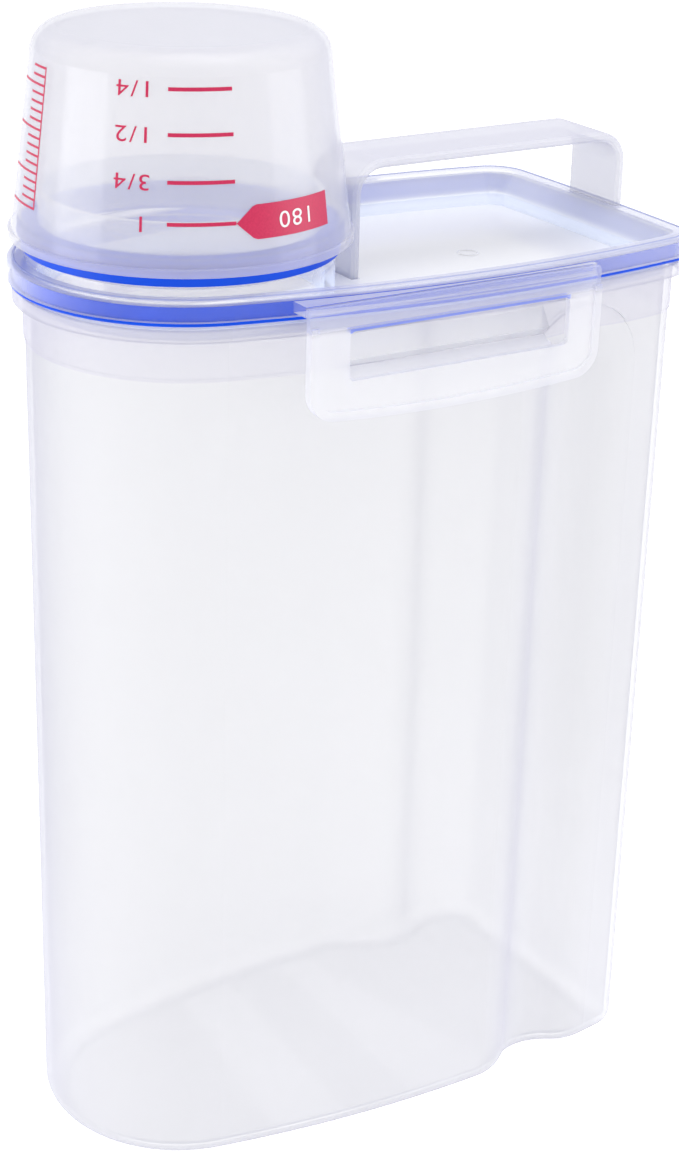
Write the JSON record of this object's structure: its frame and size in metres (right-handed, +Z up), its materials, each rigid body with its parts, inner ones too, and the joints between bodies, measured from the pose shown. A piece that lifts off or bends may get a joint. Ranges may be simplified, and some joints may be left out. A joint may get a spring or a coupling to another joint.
{
  "type": "laundry powder container",
  "caption": "Slim lidded keeper for laundry powder or dry food, with finger scoops, latch flaps, a carrying strap, and a pouring spout capped by its measuring cup.",
  "frame": {"origin": "centre of the bounding box on the surface the base stands on", "axes": "+Z up, -X towards the spout and the cup, +X towards the rear, +Y towards the far latch flap"},
  "size_m": [0.178, 0.109, 0.305],
  "materials": {
    "container_plastic": "translucent, satin outside",
    "lid_plastic": "translucent, polished",
    "cup_plastic": "translucent, polished, with printed measuring marks",
    "strap_plastic": "translucent, polished",
    "flap_plastic": "translucent, polished",
    "seal_silicone": "satin blue silicone"
  },
  "bodies": {
    "container_body": {"container": "container_plastic"},
    "lid_body": {"lid": "lid_plastic", "lid_seal": "seal_silicone", "cup_seal": "seal_silicone", "carrying_strap": "strap_plastic"},
    "cup_body": {"measuring_cup": "cup_plastic"},
    "near_flap_body": {"near_latch_flap": "flap_plastic"},
    "far_flap_body": {"far_latch_flap": "flap_plastic"}
  },
  "joints": [
    {"name": "lid_lift", "type": "slide", "parent": "container_body", "child": "lid_body", "axis": [0, 0, 1], "range_m": [0, 0.028]},
    {"name": "cup_lift", "type": "slide", "parent": "lid_body", "child": "cup_body", "axis": [0, 0, 1], "range_m": [0, 0.04]},
    {"name": "near_latch_swing", "type": "hinge", "parent": "lid_body", "child": "near_flap_body", "pos_m": [0.004, -0.0526, 0.2448], "axis": [-1, 0, 0], "range_deg": [0, 140]},
    {"name": "far_latch_swing", "type": "hinge", "parent": "lid_body", "child": "far_flap_body", "pos_m": [0.004, 0.0526, 0.2448], "axis": [1, 0, 0], "range_deg": [0, 140]}
  ],
  "couplings": [
    {"joint": "near_latch_swing", "follows": "lid_lift", "rad_per_m": 87},
    {"joint": "far_latch_swing", "follows": "lid_lift", "rad_per_m": 87}
  ]
}
